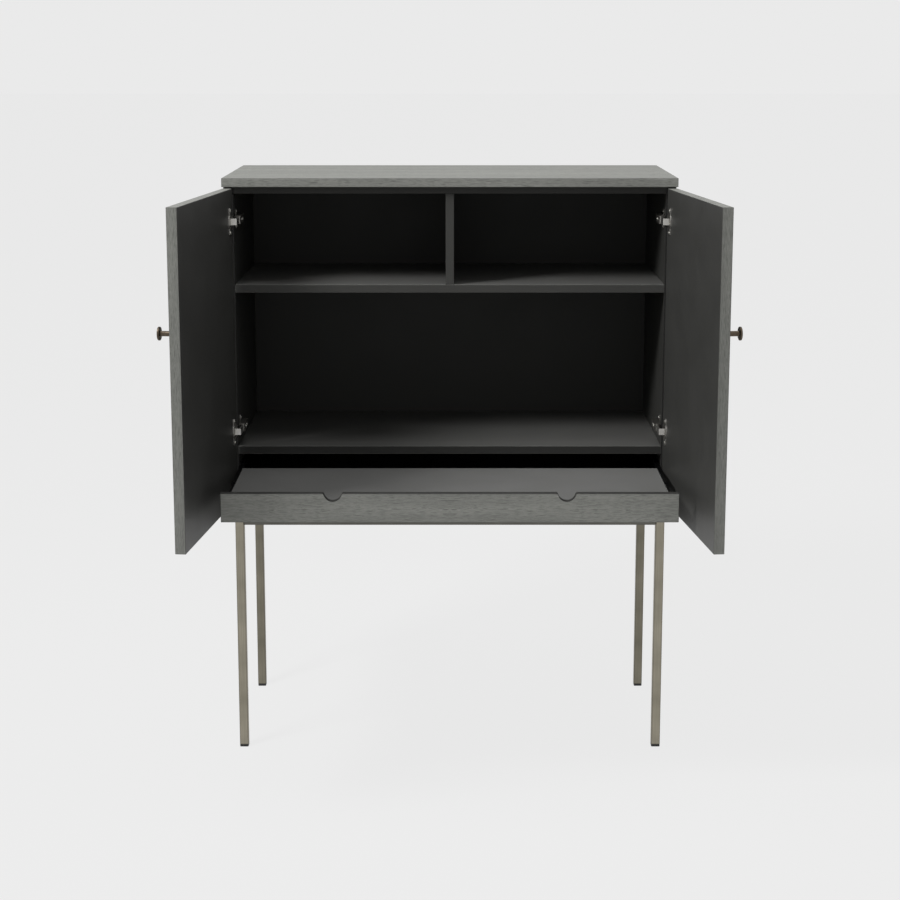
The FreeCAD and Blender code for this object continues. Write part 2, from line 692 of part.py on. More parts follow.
def build_tray():
    front = eased(block((-tray_half, tray_half), (tray_front_y, tray_front_back_y),
                        (tray_bottom_z, tray_top_z)))
    for x in (-notch_spacing / 2, notch_spacing / 2):
        front = front.cut(notch_cutter(x))
    parts["tray_front"] = bored(front, tray_dowel_places())
    board_back = tray_front_back_y + tray_board_depth
    board = eased(block((-tray_board_half, tray_board_half), (tray_front_back_y, board_back),
                        (tray_board_z - tray_board_thickness, tray_board_z)))
    parts["tray_board"] = bored(board, tray_dowel_places())
    parts["tray_dowels"] = Part.makeCompound(dowels(tray_dowel_places()))
    batten = block((-tray_board_half, -tray_board_half + batten_thickness),
                   (tray_front_back_y, board_back),
                   (tray_bottom_z, tray_board_z - tray_board_thickness))
    outer = slide_member(0, slide_front, True)
    inner = slide_member(2, slide_front - tray_pull, False)
    for point in slide_inner_screw_points():
        batten = batten.cut(sunk_screw(point, ACROSS, screw_fit))
        inner = inner.cut(sunk_screw(point, ACROSS, screw_fit))
    for point in slide_outer_screw_points():
        outer = outer.cut(sunk_screw(point, -ACROSS, screw_fit))
    both_sides("tray_batten", batten)
    both_sides("slide_outer", outer)
    both_sides("slide_middle", slide_member(1, slide_front - tray_pull / 2, True))
    both_sides("slide_inner", inner)
    parts["slide_screws"] = left_and_right(
        [sunk_screw(point, -ACROSS) for point in slide_outer_screw_points()])
    parts["slide_inner_screws"] = left_and_right(
        [sunk_screw(point, ACROSS) for point in slide_inner_screw_points()])


# ---------------------------------------------------------------- leg frame
def leg(front_y):
    return square_tube((-leg_outer_x, -leg_inner_x), (front_y, front_y + leg_size),
                       (foot_thickness, base_height), "z")


def foot_cap(front_y):
    """Plastic cap under a leg, with a hollow plug up inside the tube."""
    cap = block((-leg_outer_x + foot_inset, -leg_inner_x - foot_inset),
                (front_y + foot_inset, front_y + leg_size - foot_inset), (0, foot_thickness))
    cap = cap.makeFillet(edge_round, [edge for edge in cap.Edges
                                      if abs(edge.CenterOfMass.z) < edge_round])
    plug_gap = tube_wall + foot_plug_fit
    plug_x = (-leg_outer_x + plug_gap, -leg_inner_x - plug_gap)
    plug_y = (front_y + plug_gap, front_y + leg_size - plug_gap)
    plug_z = (foot_thickness, foot_thickness + foot_plug_length)
    hollow = block((plug_x[0] + foot_plug_wall, plug_x[1] - foot_plug_wall),
                   (plug_y[0] + foot_plug_wall, plug_y[1] - foot_plug_wall), plug_z)
    return cap.fuse(block(plug_x, plug_y, plug_z).cut(hollow))


def corner_plate(at_front):
    """Three-cornered plate in a corner of the frame, flush under the bottom board."""
    low = base_height - corner_plate_thickness
    corner_y = leg_front_y + leg_size if at_front else leg_back_y - leg_size
    reach_y = corner_y + corner_plate_leg if at_front else corner_y - corner_plate_leg
    plate = prism([(-leg_inner_x, corner_y, low), (-leg_inner_x + corner_plate_leg, corner_y, low),
                   (-leg_inner_x, reach_y, low)], UP * corner_plate_thickness)
    for point in corner_screw_points():
        if abs(point.y - corner_y) < corner_plate_leg:
            plate = plate.cut(rod(corner_screw_radius + screw_fit, corner_plate_thickness, point, UP))
    return plate


def build_frame():
    both_sides("leg_front", leg(leg_front_y))
    both_sides("leg_back", leg(leg_back_y - leg_size))
    rail_z = (base_height - rail_height, base_height)
    between_legs = (-leg_inner_x, leg_inner_x)
    parts["rail_front"] = square_tube(between_legs, (leg_front_y, leg_front_y + leg_size),
                                      rail_z, "x")
    parts["rail_back"] = square_tube(between_legs, (leg_back_y - leg_size, leg_back_y),
                                     rail_z, "x")
    both_sides("rail_side", square_tube((-leg_outer_x, -leg_inner_x),
                                        (leg_front_y + leg_size, leg_back_y - leg_size),
                                        rail_z, "y"))
    parts["foot_caps"] = left_and_right([foot_cap(leg_front_y), foot_cap(leg_back_y - leg_size)])
    parts["corner_plates"] = left_and_right([corner_plate(True), corner_plate(False)])
    parts["corner_screws"] = left_and_right(
        [screw(point, UP, (corner_screw_radius, corner_screw_length - screw_fit),
               (corner_screw_head_radius, corner_screw_head_height))
         for point in corner_screw_points()])


# ---------------------------------------------------------------- build and write
build_case()
build_doors()
build_hinges()
build_tray()
build_frame()

os.makedirs("parts", exist_ok=True)
for name, shape in parts.items():
    shape.translate(FreeCAD.Vector(0, centring_shift, 0))
    shape.exportStep("parts/" + name + ".step")
print(len(parts), "nodes, Y shift", round(centring_shift, 3))
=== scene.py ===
"""Bar cabinet with two cup-hinged doors and a serving tray, dressed for rendering.

Metres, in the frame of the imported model: +Z up, the doors and the tray face -Y.
The sections follow the cabinet as it is put together.
"""
import math

import bmesh
import bpy
import numpy as np
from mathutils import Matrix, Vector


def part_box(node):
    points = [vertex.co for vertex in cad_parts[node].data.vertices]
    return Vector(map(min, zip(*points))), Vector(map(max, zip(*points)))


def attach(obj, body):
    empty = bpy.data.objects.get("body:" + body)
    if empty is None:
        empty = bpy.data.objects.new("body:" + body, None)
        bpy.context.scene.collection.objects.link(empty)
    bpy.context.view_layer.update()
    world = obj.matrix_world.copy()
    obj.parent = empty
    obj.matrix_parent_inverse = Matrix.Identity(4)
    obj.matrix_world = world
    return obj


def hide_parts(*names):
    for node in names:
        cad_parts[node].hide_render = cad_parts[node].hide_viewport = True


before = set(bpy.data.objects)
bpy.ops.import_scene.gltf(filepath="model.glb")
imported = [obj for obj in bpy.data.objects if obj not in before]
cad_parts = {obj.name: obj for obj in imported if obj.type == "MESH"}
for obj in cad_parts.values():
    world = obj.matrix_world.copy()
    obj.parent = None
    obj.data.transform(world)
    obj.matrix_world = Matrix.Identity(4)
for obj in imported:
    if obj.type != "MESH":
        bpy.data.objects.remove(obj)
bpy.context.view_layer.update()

# ---------------------------------------------------------------- top board and bottom board
# Particle board faced with ash veneer that is stained grey, brushed until its pores stand open,
# and sealed with matt lacquer, its grain from side to side. They close the case with dowels.
veneer_light = "#91928c"
veneer_dark = "#666763"
veneer_pore = "#474844"
veneer_arris_shade = "#3f403c"
pore_width_mm = 1.4             # real pores are 0.3 mm wide; this wide they still show
pore_length_mm = 26.0
pore_limits = (0.53, 0.66)      # fibre noise from here to there deepens into an open pore
pore_depth = 0.8
fibre_limits = (0.3, 0.6)
fibre_detail = 4.0
band_width_mm = 24.0
band_length_mm = 520.0
band_limits = (0.3, 0.7)
band_detail = 3.0
band_floor = 0.5                # the darkest growth bands keep this share of the light shade
grain_falloff = 0.6
waver_length_mm = 160.0
waver_mm = 7.0
arris_shade_width = 0.0015            # painted shade: a dark line along each arris
arris_shade_depth = 0.8
veneer_roughness = (0.48, 0.64)
veneer_relief_mm = 0.12
relief_strength = 0.5
lacquer_ior = 1.5
skin = 0.00025                  # a place this close to a face counts as on it


def linear(hex_colour):
    """An sRGB hex colour as linear light: v / 12.92 near black, else ((v + 0.055) / 1.055)^2.4."""
    values = [int(hex_colour[i:i + 2], 16) / 255 for i in (1, 3, 5)]
    return (*[v / 12.92 if v <= 0.04045 else ((v + 0.055) / 1.055) ** 2.4 for v in values], 1.0)


def add(material, kind, inputs=None, output=0, **settings):
    """Add one node with its settings; each input is a value or another node's output."""
    node = material.node_tree.nodes.new("ShaderNode" + kind)
    for name, value in settings.items():
        setattr(node, name, value)
    for name, value in (inputs or {}).items():
        if isinstance(value, bpy.types.NodeSocket):
            material.node_tree.links.new(value, node.inputs[name])
        else:
            node.inputs[name].default_value = value
    return node.outputs[output] if node.outputs else node


def new_material(name):
    """An empty node material."""
    material = bpy.data.materials.new(name)
    material.use_nodes = True
    material.node_tree.nodes.clear()
    return material


def paint(material, *nodes):
    """Put a material in every slot of the named pieces."""
    for name in nodes:
        for slot in bpy.data.objects[name].material_slots:
            slot.material = material


def in_board(material, low, high, mirrored=False, pivot=None, turn=0.0):
    """A place measured from a board's middle, and its distance from the nearest arris.

    A mirrored pair shares |x|, found after y is lifted by a metre to keep it positive. A board
    that stands turned about an upright pivot is turned back first. The arris distance is the
    second smallest of the distances to the three pairs of faces.
    """
    place = add(material, "TexCoord", output="Object")
    if mirrored:
        lifted = add(material, "VectorMath", {0: place, 1: (0, 1, 0)}, operation="ADD")
        folded = add(material, "VectorMath", {0: lifted}, operation="ABSOLUTE")
        place = add(material, "VectorMath", {0: folded, 1: (0, 1, 0)}, operation="SUBTRACT")
    if pivot:
        place = add(material, "VectorRotate", {"Vector": place, "Center": pivot, "Angle": -turn},
                    rotation_type="Z_AXIS")
    middle, half = (high + low) / 2, (high - low) / 2
    place = add(material, "VectorMath", {0: place, 1: middle}, operation="SUBTRACT")
    reach = add(material, "VectorMath", {0: place}, operation="ABSOLUTE")
    depth = add(material, "VectorMath", {0: half, 1: reach}, operation="SUBTRACT")
    x, y, z = (add(material, "SeparateXYZ", {0: depth}, output=axis) for axis in "XYZ")
    nearer = add(material, "Math", {0: x, 1: y}, operation="MINIMUM")
    farther = add(material, "Math", {0: x, 1: y}, operation="MAXIMUM")
    farther = add(material, "Math", {0: farther, 1: z}, operation="MINIMUM")
    return place, add(material, "Math", {0: nearer, 1: farther}, operation="MAXIMUM")


def streaks(material, place, along, width_mm, length_mm, detail):
    """Noise drawn out along one axis: one cell is width_mm across and length_mm long."""
    scale = [1000 / (length_mm if axis == along else width_mm) for axis in "XYZ"]
    stretched = add(material, "Mapping", {"Vector": place, "Scale": scale})
    return add(material, "TexNoise", {"Vector": stretched, "Scale": 1.0, "Detail": detail,
                                      "Roughness": grain_falloff})


def veneer(material, place, along, arris):
    """Colour, roughness and height of brushed grey ash whose grain runs along one axis.

    Slow bands and fine fibres are multiplied into the ground colour, open pores are laid over
    it, and the grain wavers with a slow noise added to the place.
    """
    drift = add(material, "TexNoise", {"Vector": place, "Scale": 1000 / waver_length_mm},
                output="Color")
    wavered = add(material, "VectorMath", {0: drift, 1: (waver_mm / 1000,) * 3, 2: place},
                  operation="MULTIPLY_ADD")
    bands = add(material, "MapRange", {
        "Value": streaks(material, wavered, along, band_width_mm, band_length_mm, band_detail),
        "From Min": band_limits[0], "From Max": band_limits[1], "To Min": band_floor},
        interpolation_type="SMOOTHSTEP")
    fibres = streaks(material, wavered, along, pore_width_mm, pore_length_mm, fibre_detail)
    fibre_shade = add(material, "MapRange", {
        "Value": fibres, "From Min": fibre_limits[0], "From Max": fibre_limits[1]},
        interpolation_type="SMOOTHSTEP")
    pores = add(material, "MapRange", {
        "Value": fibres, "From Min": pore_limits[0], "From Max": pore_limits[1]},
        interpolation_type="SMOOTHSTEP")
    shade = add(material, "Math", {0: bands, 1: fibre_shade}, operation="MULTIPLY")
    ground = add(material, "Mix", {0: shade, 6: linear(veneer_dark), 7: linear(veneer_light)},
                 output=2, data_type="RGBA")
    pore_share = add(material, "Math", {0: pores, 1: pore_depth}, operation="MULTIPLY")
    colour = add(material, "Mix", {0: pore_share, 6: ground, 7: linear(veneer_pore)},
                 output=2, data_type="RGBA")
    # painted shade darkens a thin band along each arris
    arris_shade = add(material, "MapRange", {"Value": arris, "From Min": 0.0, "From Max": arris_shade_width,
                                       "To Min": arris_shade_depth, "To Max": 0.0})
    colour = add(material, "Mix", {0: arris_shade, 6: colour, 7: linear(veneer_arris_shade)},
                 output=2, data_type="RGBA")
    rough = add(material, "MapRange", {"Value": fibres, "To Min": veneer_roughness[0],
                                       "To Max": veneer_roughness[1]})
    height = add(material, "Math", {0: 1.0, 1: pores}, operation="SUBTRACT")
    return colour, rough, height


def lacquered(material, colour, rough, height, relief_mm, gloss=0.5):
    """Finish a material as lacquered board with the given colour, roughness and relief."""
    normal = add(material, "Bump", {"Height": height, "Strength": relief_strength,
                                    "Distance": relief_mm / 1000})
    surface = add(material, "BsdfPrincipled", {"Base Color": colour, "Roughness": rough,
                                               "IOR": lacquer_ior, "Specular IOR Level": gloss,
                                               "Normal": normal})
    add(material, "OutputMaterial", {"Surface": surface})


for board in ("top_board", "bottom_board"):
    finish = new_material("brushed grey ash veneer, " + board.replace("_", " "))
    place, arris = in_board(finish, *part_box(board))
    lacquered(finish, *veneer(finish, place, "X", arris), veneer_relief_mm)
    paint(finish, board)

# ---------------------------------------------------------------- inner boards and back panel
# Particle board faced with melamine, a paper soaked in resin and pressed against a satin plate:
# smooth, nearly black grey, with a faint cloudiness. Dowels hold the boards between the sides.
melamine_dark = "#333331"
melamine_light = "#383836"
painted_board_shades = {                 # painted light and shade: shelf and divider lighter, the floor darker where the tray shades it
    "shelf": ("#3b3b39", "#424240"),
    "divider": ("#3b3b39", "#424240"),
    "compartment_floor": ("#2b2b29", "#2f2f2e")}
painted_lit_tops = {                   # painted light: the upward faces are painted lighter than the edges
    "shelf": ("#5d5d5b", "#656563"),
    "compartment_floor": ("#545452", "#5b5b59"),
    "tray_board": ("#696967", "#717170")}
painted_arris_highlight = "#757572"          # a painted highlight along the arrises
highlight_width = 0.0012
highlight_strength = 0.75
cloud_mm = 90.0
cloud_detail = 4.0
grit_mm = 0.9
grit_detail = 1.0
melamine_roughness = (0.40, 0.54)
melamine_relief_mm = 0.02
melamine_gloss = 0.17


def melamine(material, place, dark, light):
    """Colour, roughness and height of smooth melamine, clouded between two shades."""
    clouds = add(material, "TexNoise", {"Vector": place, "Scale": 1000 / cloud_mm,
                                        "Detail": cloud_detail})
    grit = add(material, "TexNoise", {"Vector": place, "Scale": 1000 / grit_mm,
                                      "Detail": grit_detail})
    colour = add(material, "Mix", {0: clouds, 6: linear(dark), 7: linear(light)},
                 output=2, data_type="RGBA")
    rough = add(material, "MapRange", {"Value": clouds, "To Min": melamine_roughness[0],
                                       "To Max": melamine_roughness[1]})
    return colour, rough, grit


def beyond(material, place, axis, distance):
    """1 where a place lies farther along an axis than a distance, 0 elsewhere."""
    along = add(material, "SeparateXYZ", {0: place}, output=axis)
    return add(material, "Math", {0: along, 1: distance}, operation="GREATER_THAN")


def laid_over(material, share, under, over):
    """One finish laid over another: colour, roughness and height, mixed by a share."""
    colour = add(material, "Mix", {0: share, 6: under[0], 7: over[0]}, output=2,
                 data_type="RGBA")
    return (colour, *[add(material, "Mix", {0: share, 2: under[i], 3: over[i]})
                      for i in (1, 2)])


for board in ("inner_top", "inner_bottom", "divider", "back_panel", "shelf",
              "compartment_floor", "tray_board"):
    finish = new_material("satin grey melamine, " + board.replace("_", " "))
    low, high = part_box(board)
    place, arris = in_board(finish, low, high)
    face = melamine(finish, place, *painted_board_shades.get(board, (melamine_dark, melamine_light)))
    # the upper face takes the lighter shades, which are painted light
    if board in painted_lit_tops:
        lit_top_faces = melamine(finish, place, *painted_lit_tops[board])
        top = beyond(finish, place, "Z", (high.z - low.z) / 2 - skin)
        # painted highlight: a light band along each arris of these boards
        arris_highlight = add(finish, "MapRange", {"Value": arris, "From Min": 0.0, "From Max": highlight_width,
                                         "To Min": highlight_strength, "To Max": 0.0})
        face = laid_over(finish, top, face, lit_top_faces)
        edge = add(finish, "Mix", {0: arris_highlight, 6: face[0], 7: linear(painted_arris_highlight)}, output=2,
                   data_type="RGBA")
        face = (edge, face[1], face[2])
    lacquered(finish, *face, melamine_relief_mm, melamine_gloss)
    paint(finish, board)

battens = new_material("dark grey melamine, battens")
place = add(battens, "TexCoord", output="Object")
lacquered(battens, *melamine(battens, place, melamine_dark, melamine_light), melamine_relief_mm,
          melamine_gloss)
paint(battens, "tray_batten_left", "tray_batten_right")

# ---------------------------------------------------------------- side boards
# The same board, veneered on its outer face with the grain upright. The inner face is melamine,
# and the front edge has a dark edging, painted darker still as shade. Dowels join both boards to
# the top and the bottom.
edging_shaded_dark = "#1f1f1e"
edging_shaded_light = "#242423"
edging_thickness = 0.00075

sides = new_material("grey ash veneer outside, melamine inside, side boards")
low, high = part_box("side_board_right")
place, arris = in_board(sides, low, high, mirrored=True)
outside = beyond(sides, place, "X", (high.x - low.x) / 2 - skin)
past_edging = beyond(sides, place, "Y", (low.y - high.y) / 2 + edging_thickness)
within = laid_over(sides, past_edging, melamine(sides, place, edging_shaded_dark, edging_shaded_light),
                   melamine(sides, place, melamine_dark, melamine_light))
lacquered(sides, *laid_over(sides, outside, within, veneer(sides, place, "Z", arris)),
          veneer_relief_mm, melamine_gloss)
paint(sides, "side_board_left", "side_board_right")

# ---------------------------------------------------------------- doors
# Boards veneered on the outer face and on all four edges, the grain upright, and melamine on
# the inner face. Each turns on two cup hinges and stands open at a little over a right angle.
door_turn = math.radians(96)
door_thickness = 0.022
door_width = 0.4975
pivot = Vector((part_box("side_board_right")[1].x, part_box("top_board")[0].y, 0))
door_low = pivot + Vector((-door_width, 0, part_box("door_right")[0].z))
door_high = pivot + Vector((0, door_thickness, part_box("door_right")[1].z))

doors = new_material("grey ash veneer outside, melamine inside, doors")
place, arris = in_board(doors, door_low, door_high, mirrored=True, pivot=pivot, turn=door_turn)
inside = beyond(doors, place, "Y", door_thickness / 2 - skin)
lacquered(doors, *laid_over(doors, inside, veneer(doors, place, "Z", arris),
                            melamine(doors, place, melamine_dark, melamine_light)),
          veneer_relief_mm)
paint(doors, "door_left", "door_right")

# ---------------------------------------------------------------- tray front
# Veneered board with two finger notches cut through its upper edge; the cut edges and the back
# are sealed dark. It is doweled to the tray board, whose surface lies a little lower.
notch_offset = 0.2425
notch_radius = 0.019
notch_rise = 0.002              # the notches' centres stand this far above the upper edge
upward_share = 0.2              # a face whose normal rises more than this is an upper edge

tray_front = new_material("brushed grey ash veneer, tray front")
low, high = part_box("tray_front")
half = (high - low) / 2
place, arris = in_board(tray_front, low, high, mirrored=True)
centred = add(tray_front, "TexCoord", output="Object")
folded = add(tray_front, "VectorMath", {0: centred}, operation="ABSOLUTE")
flat = add(tray_front, "VectorMath", {0: folded, 1: (1, 0, 1)}, operation="MULTIPLY")
from_notch = add(tray_front, "VectorMath", {0: flat, 1: (notch_offset, 0, high.z + notch_rise)},
                 output="Value", operation="DISTANCE")
notch = add(tray_front, "Math", {0: from_notch, 1: notch_radius + skin}, operation="LESS_THAN")
facing = add(tray_front, "NewGeometry", output="Normal")
upper = beyond(tray_front, facing, "Z", upward_share)
behind = beyond(tray_front, place, "Y", half.y - skin)
sealed = add(tray_front, "Math", {0: notch, 1: upper}, operation="MAXIMUM")
sealed = add(tray_front, "Math", {0: sealed, 1: behind}, operation="MAXIMUM")
lacquered(tray_front, *laid_over(tray_front, sealed, veneer(tray_front, place, "X", arris),
                                 melamine(tray_front, place, melamine_dark, melamine_light)),
          veneer_relief_mm)
paint(tray_front, "tray_front")

# ---------------------------------------------------------------- leg frame
# Square steel tube, welded and ground flush, brushed along its length and lacquered a warm
# grey. The corners of drawn tube are round, and painted shade darkens them.
tube_light = "#a39d8e"
tube_dark = "#8b8678"
tube_corner_shade = "#4e4b43"
# the rails are a greyer tone, painted darker as shade from the tray and case above
rail_shaded_light = "#71706a"
rail_shaded_dark = "#5f5e59"
back_leg_shaded_light = "#8b8678"          # painted shade: the back legs are painted darker
back_leg_shaded_dark = "#767265"
tube_corner = 0.002
tube_wall = 0.0015
corner_shade_width = 0.0022
corner_shade_depth = 0.85
brush_width_mm = 1.2            # brush lines are 0.1 mm wide; this wide they still show
brush_length_mm = 70.0
brush_detail = 2.0
lacquer_clouds_per_metre = 14.0
lacquer_cloud_detail = 3.0
tube_shade_limits = (0.12, 0.38)
tube_roughness = (0.36, 0.5)
tube_relief_mm = 0.04
tube_relief_strength = 0.3
corner_points = 6
crease_degrees = 40
merge_distance = 1e-6


def ring_mesh(name, node, rings, looped, body="case", copies=((0, 0, 0),)):
    """A closed piece whose rings of points are joined each to the next, standing for a node.

    The last ring joins the first where looped; otherwise the end rings have shrunk to points,
    which are merged. The whole is repeated at each offset in copies.
    """
    count, size = rings.shape[:2]
    index = np.arange(count * size).reshape(count, size)
    beside = np.roll(index, -1, 1)
    quads = np.stack([index, beside, np.roll(beside, -1, 0), np.roll(index, -1, 0)], 2)
    quads = (quads if looped else quads[:-1]).reshape(-1, 4)
    copies = np.array(copies, float)
    points = (rings.reshape(1, -1, 3) + copies[:, None, :]).reshape(-1, 3)
    quads = (quads[None] + np.arange(len(copies))[:, None, None] * count * size).reshape(-1, 4)
    shell = bmesh.new()
    mesh = bpy.data.meshes.new(name)
    mesh.from_pydata(points.tolist(), [], quads.tolist())
    shell.from_mesh(mesh)
    bmesh.ops.remove_doubles(shell, verts=shell.verts, dist=merge_distance)
    bmesh.ops.recalc_face_normals(shell, faces=shell.faces)
    shell.to_mesh(mesh)
    shell.free()
    mesh.polygons.foreach_set("use_smooth", [True] * len(mesh.polygons))
    mesh.set_sharp_from_angle(angle=math.radians(crease_degrees))
    piece = bpy.data.objects.new(name, mesh)
    bpy.context.scene.collection.objects.link(piece)
    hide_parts(node)
    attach(piece, body)
    return piece


def rounded_square(half, radius):
    """One turn of points round a rectangle with half sides half, its corners quarter circles."""
    quarter = np.linspace(0, math.pi / 2, corner_points)
    angles = (quarter[None, :] + np.arange(4)[:, None] * math.pi / 2).ravel()
    signs = np.repeat([[1, 1], [-1, 1], [-1, -1], [1, -1]], corner_points, axis=0)
    return (signs * (np.asarray(half) - radius)
            + radius * np.stack([np.cos(angles), np.sin(angles)], 1))


def tube(node, along):
    """Square tube in the box of a node; a rail reaches into the round corners of the legs.

    Four rounded rings, outside at both ends and inside at both ends, close on themselves.
    """
    low, high = (np.array(corner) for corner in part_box(node))
    axis = "XYZ".index(along)
    across = [i for i in range(3) if i != axis]
    middle, half = (low + high) / 2, (high - low) / 2
    reach = half[axis] + (tube_corner if axis < 2 else 0)
    rings = np.zeros((4, 4 * corner_points, 3))
    rings[:, :, axis] = middle[axis] + reach * np.array([-1, 1, 1, -1])[:, None]
    for ring, inset in enumerate((0, 0, tube_wall, tube_wall)):
        rings[ring][:, across] = middle[across] + rounded_square(half[across] - inset,
                                                                 tube_corner - inset)
    piece = ring_mesh("tube_" + node, node, rings, True)
    return piece


def brushed_tube(name, nodes, along, mirrored, light, dark):
    """Brushed lines along the tube over slow clouds, with painted shade towards the rounded
    corners.
    """
    material = new_material(name)
    place, arris = in_board(material, *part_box(nodes[-1]), mirrored)
    lines = streaks(material, place, along, brush_width_mm, brush_length_mm, brush_detail)
    clouds = add(material, "TexNoise", {"Vector": place, "Scale": lacquer_clouds_per_metre,
                                        "Detail": lacquer_cloud_detail})
    shade = add(material, "Math", {0: lines, 1: clouds}, operation="MULTIPLY")
    shade = add(material, "MapRange", {"Value": shade, "From Min": tube_shade_limits[0],
                                       "From Max": tube_shade_limits[1]})
    colour = add(material, "Mix", {0: shade, 6: linear(dark), 7: linear(light)}, output=2,
                 data_type="RGBA")
    # painted shade along the rounded corners
    edge = add(material, "MapRange", {"Value": arris, "From Min": 0.0,
                                      "From Max": corner_shade_width,
                                      "To Min": corner_shade_depth, "To Max": 0.0})
    colour = add(material, "Mix", {0: edge, 6: colour, 7: linear(tube_corner_shade)}, output=2,
                 data_type="RGBA")
    rough = add(material, "MapRange", {"Value": lines, "To Min": tube_roughness[0],
                                       "To Max": tube_roughness[1]})
    normal = add(material, "Bump", {"Height": lines, "Strength": tube_relief_strength,
                                    "Distance": tube_relief_mm / 1000})
    surface = add(material, "BsdfPrincipled", {"Base Color": colour, "Metallic": 1.0,
                                               "Roughness": rough, "Normal": normal})
    add(material, "OutputMaterial", {"Surface": surface})
    for node in nodes:
        tube(node, along).data.materials.append(material)


brushed_tube("brushed steel tube, front legs", ("leg_front_left", "leg_front_right"), "Z", True,
             tube_light, tube_dark)
brushed_tube("brushed steel tube, back legs", ("leg_back_left", "leg_back_right"), "Z", True,
             back_leg_shaded_light, back_leg_shaded_dark)
brushed_tube("brushed steel tube, front rail", ("rail_front",), "X", False, rail_shaded_light, rail_shaded_dark)
brushed_tube("brushed steel tube, back rail", ("rail_back",), "X", False, rail_shaded_light, rail_shaded_dark)
brushed_tube("brushed steel tube, side rails", ("rail_side_left", "rail_side_right"), "Y", True,
             rail_shaded_light, rail_shaded_dark)

# The plates in the frame's corners are powder-coated: a fine, even, half-matt skin.
fitting_detail = 3.0
fitting_roughness_swing = 0.07
fitting_relief_mm = 0.03
fitting_relief_strength = 0.25


def fitting(name, light, dark, rough, grain_mm, metallic):
    """A moulded, plated or cast surface: a fine grain shifts its colour and its roughness."""
    material = new_material(name)
    place = add(material, "TexCoord", output="Object")
    grain = add(material, "TexNoise", {"Vector": place, "Scale": 1000 / grain_mm,
                                       "Detail": fitting_detail})
    colour = add(material, "Mix", {0: grain, 6: linear(dark), 7: linear(light)}, output=2,
                 data_type="RGBA")
    roughness = add(material, "MapRange", {"Value": grain,
                                           "To Min": rough - fitting_roughness_swing,
                                           "To Max": rough + fitting_roughness_swing})
    normal = add(material, "Bump", {"Height": grain, "Strength": fitting_relief_strength,
                                    "Distance": fitting_relief_mm / 1000})
    surface = add(material, "BsdfPrincipled", {"Base Color": colour, "Metallic": metallic,
                                               "Roughness": roughness, "Normal": normal})
    add(material, "OutputMaterial", {"Surface": surface})
    return material


paint(fitting("powder-coated steel plates", light="#55534c", dark="#45433d", rough=0.5,
              grain_mm=3.0, metallic=0.0), "corner_plates")

# ---------------------------------------------------------------- foot glides
# Dull black polyethylene, moulded in one with a hollow plug that is pressed into the tube's end.
# A shoulder almost as wide as the tube stands on the floor, its lower edge rounded.
glide_half = 0.0098
glide_height = 0.006
glide_round = 0.001
glide_ease = 0.0003             # one point between the sole and the side rounds the lower edge
plug_half = 0.0084
plug_height = 0.028
plug_wall = 0.002
glide_profile = [(0, 0), (glide_half - glide_round, 0),
                 (glide_half - glide_ease, glide_ease), (glide_half, glide_round),
                 (glide_half, glide_height), (plug_half, glide_height), (plug_half, plug_height),
                 (plug_half - plug_wall, plug_height), (plug_half - plug_wall, glide_height),
                 (0, glide_height)]
glide_rings = np.zeros((len(glide_profile), 4 * corner_points, 3))
for ring, (half_width, rise) in enumerate(glide_profile):
    glide_rings[ring, :, :2] = rounded_square((half_width, half_width),
                                              min(tube_corner, half_width))
    glide_rings[ring, :, 2] = rise
leg_middles = [(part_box(leg)[0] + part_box(leg)[1]) / 2
               for leg in ("leg_front_left", "leg_front_right", "leg_back_left",
                           "leg_back_right")]
glides = ring_mesh("foot_glides", "foot_caps", glide_rings, False,
                   copies=[(middle.x, middle.y, 0) for middle in leg_middles])
glides.data.materials.append(fitting("black polyethylene", light="#181818", dark="#0d0d0d",
                                     rough=0.5, grain_mm=3.0, metallic=0.0))

# ---------------------------------------------------------------- hinges and their screws
# Cup, arm, link and mounting plate are pressed from steel and nickel-plated, a faintly warm
# metal: bright on links and pins, softer on the cups, and painted darker on arms and plates as
# shade where they lie behind the links. Every screw is zinc-plated and a little greyer.
paint(fitting("nickel-plated steel, links and pins", light="#dedcd7", dark="#c4c2bd", rough=0.3,
              grain_mm=6.0, metallic=1.0), "hinge_links", "hinge_pins")
paint(fitting("nickel-plated steel, cups", light="#c2c0bb", dark="#a8a6a1", rough=0.36,
              grain_mm=6.0, metallic=1.0), "hinge_cups_left", "hinge_cups_right")
# painted shade: arms and plates darker than the other nickel
paint(fitting("nickel-plated steel painted in shade, arms and plates", light="#7d7b77", dark="#6a6864",
              rough=0.46, grain_mm=6.0, metallic=1.0), "hinge_plates", "hinge_arms")
paint(fitting("zinc-plated steel screws", light="#b5b4ae", dark="#8f8e88", rough=0.36,
              grain_mm=4.0, metallic=1.0),
      "hinge_plate_screws", "hinge_arm_screws", "cup_screws_left", "cup_screws_right",
      "corner_screws", "slide_screws", "slide_inner_screws", "knob_screw_left",
      "knob_screw_right")

# ---------------------------------------------------------------- knobs
# Turned from brass bar, with a flared foot, a slim stem and a thick round disc, then chemically
# darkened, rubbed lightly and waxed to a dark brown sheen. A stud in the door fills the bore.
knob_from_edge = 0.025
knob_below_top = 0.251
knob_projection = 0.0284
foot_radius = 0.007
foot_rim = 0.0005
foot_flare = 0.004
stem_radius = 0.0054
stem_fillet = 0.001
disc_start = 0.0235
disc_radius = 0.0138
disc_round = 0.0013
disc_crown = 0.0003             # the middle of the disc stands this far above its rim
bore_radius = 0.0021
bore_depth = 0.0125
knob_points = 48
arc_points = 7


def turned_arc(centre, reach, start, end):
    """Points (radius, height) = centre + reach * (cos a, sin a), a running between two angles."""
    angles = np.radians(np.linspace(start, end, arc_points))
    return np.array(centre) + np.array(reach) * np.stack([np.cos(angles), np.sin(angles)], 1)


